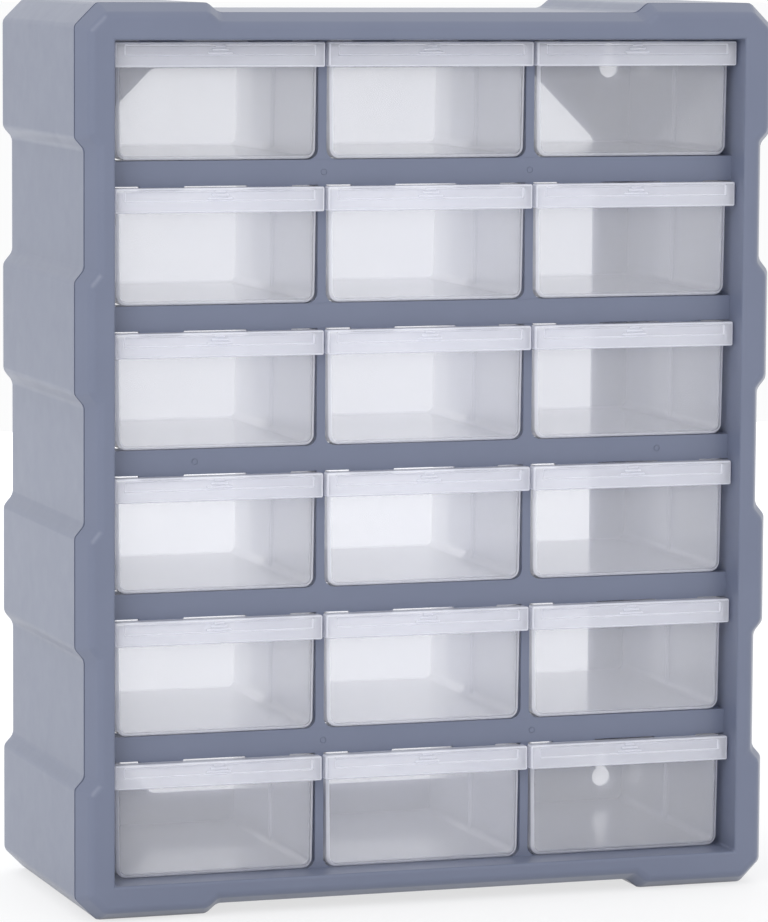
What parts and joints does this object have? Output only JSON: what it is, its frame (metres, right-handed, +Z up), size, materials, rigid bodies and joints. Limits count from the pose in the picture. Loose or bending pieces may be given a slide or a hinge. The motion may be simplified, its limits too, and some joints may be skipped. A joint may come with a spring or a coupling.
{
  "type": "parts bin cabinet",
  "caption": "Upright wall or bench cabinet with rows of small translucent pull-out drawers in a stepped grey plastic housing with an open back.",
  "frame": {"origin": "bottom centre of the cabinet, on the plane its feet stand on", "axes": "+Z up, -Y out of the front, where the drawers pull out, +X to the right seen from the front"},
  "size_m": [0.38, 0.16, 0.47],
  "materials": {
    "housing": "moulded grey polypropylene, satin",
    "drawer": "translucent milky polypropylene, polished"
  },
  "bodies": {
    "cabinet": {"bezel": "housing", "crossbar_1": "housing", "crossbar_2": "housing", "crossbar_3": "housing", "crossbar_4": "housing", "crossbar_5": "housing", "guides_r1": "housing", "guides_r2": "housing", "guides_r3": "housing", "guides_r4": "housing", "guides_r5": "housing", "guides_r6": "housing", "rear_shell": "housing"},
    "drawer_r1c1": {"drawer_r1c1": "drawer"},
    "drawer_r1c2": {"drawer_r1c2": "drawer"},
    "drawer_r1c3": {"drawer_r1c3": "drawer"},
    "drawer_r2c1": {"drawer_r2c1": "drawer"},
    "drawer_r2c2": {"drawer_r2c2": "drawer"},
    "drawer_r2c3": {"drawer_r2c3": "drawer"},
    "drawer_r3c1": {"drawer_r3c1": "drawer"},
    "drawer_r3c2": {"drawer_r3c2": "drawer"},
    "drawer_r3c3": {"drawer_r3c3": "drawer"},
    "drawer_r4c1": {"drawer_r4c1": "drawer"},
    "drawer_r4c2": {"drawer_r4c2": "drawer"},
    "drawer_r4c3": {"drawer_r4c3": "drawer"},
    "drawer_r5c1": {"drawer_r5c1": "drawer"},
    "drawer_r5c2": {"drawer_r5c2": "drawer"},
    "drawer_r5c3": {"drawer_r5c3": "drawer"},
    "drawer_r6c1": {"drawer_r6c1": "drawer"},
    "drawer_r6c2": {"drawer_r6c2": "drawer"},
    "drawer_r6c3": {"drawer_r6c3": "drawer"}
  },
  "joints": [
    {"name": "drawer_r1c1_slide", "type": "slide", "parent": "cabinet", "child": "drawer_r1c1", "axis": [0, -1, 0], "range_m": [0, 0.133]},
    {"name": "drawer_r1c2_slide", "type": "slide", "parent": "cabinet", "child": "drawer_r1c2", "axis": [0, -1, 0], "range_m": [0, 0.133]},
    {"name": "drawer_r1c3_slide", "type": "slide", "parent": "cabinet", "child": "drawer_r1c3", "axis": [0, -1, 0], "range_m": [0, 0.133]},
    {"name": "drawer_r2c1_slide", "type": "slide", "parent": "cabinet", "child": "drawer_r2c1", "axis": [0, -1, 0], "range_m": [0, 0.133]},
    {"name": "drawer_r2c2_slide", "type": "slide", "parent": "cabinet", "child": "drawer_r2c2", "axis": [0, -1, 0], "range_m": [0, 0.133]},
    {"name": "drawer_r2c3_slide", "type": "slide", "parent": "cabinet", "child": "drawer_r2c3", "axis": [0, -1, 0], "range_m": [0, 0.133]},
    {"name": "drawer_r3c1_slide", "type": "slide", "parent": "cabinet", "child": "drawer_r3c1", "axis": [0, -1, 0], "range_m": [0, 0.133]},
    {"name": "drawer_r3c2_slide", "type": "slide", "parent": "cabinet", "child": "drawer_r3c2", "axis": [0, -1, 0], "range_m": [0, 0.133]},
    {"name": "drawer_r3c3_slide", "type": "slide", "parent": "cabinet", "child": "drawer_r3c3", "axis": [0, -1, 0], "range_m": [0, 0.133]},
    {"name": "drawer_r4c1_slide", "type": "slide", "parent": "cabinet", "child": "drawer_r4c1", "axis": [0, -1, 0], "range_m": [0, 0.133]},
    {"name": "drawer_r4c2_slide", "type": "slide", "parent": "cabinet", "child": "drawer_r4c2", "axis": [0, -1, 0], "range_m": [0, 0.133]},
    {"name": "drawer_r4c3_slide", "type": "slide", "parent": "cabinet", "child": "drawer_r4c3", "axis": [0, -1, 0], "range_m": [0, 0.133]},
    {"name": "drawer_r5c1_slide", "type": "slide", "parent": "cabinet", "child": "drawer_r5c1", "axis": [0, -1, 0], "range_m": [0, 0.133]},
    {"name": "drawer_r5c2_slide", "type": "slide", "parent": "cabinet", "child": "drawer_r5c2", "axis": [0, -1, 0], "range_m": [0, 0.133]},
    {"name": "drawer_r5c3_slide", "type": "slide", "parent": "cabinet", "child": "drawer_r5c3", "axis": [0, -1, 0], "range_m": [0, 0.133]},
    {"name": "drawer_r6c1_slide", "type": "slide", "parent": "cabinet", "child": "drawer_r6c1", "axis": [0, -1, 0], "range_m": [0, 0.133]},
    {"name": "drawer_r6c2_slide", "type": "slide", "parent": "cabinet", "child": "drawer_r6c2", "axis": [0, -1, 0], "range_m": [0, 0.133]},
    {"name": "drawer_r6c3_slide", "type": "slide", "parent": "cabinet", "child": "drawer_r6c3", "axis": [0, -1, 0], "range_m": [0, 0.133]}
  ]
}
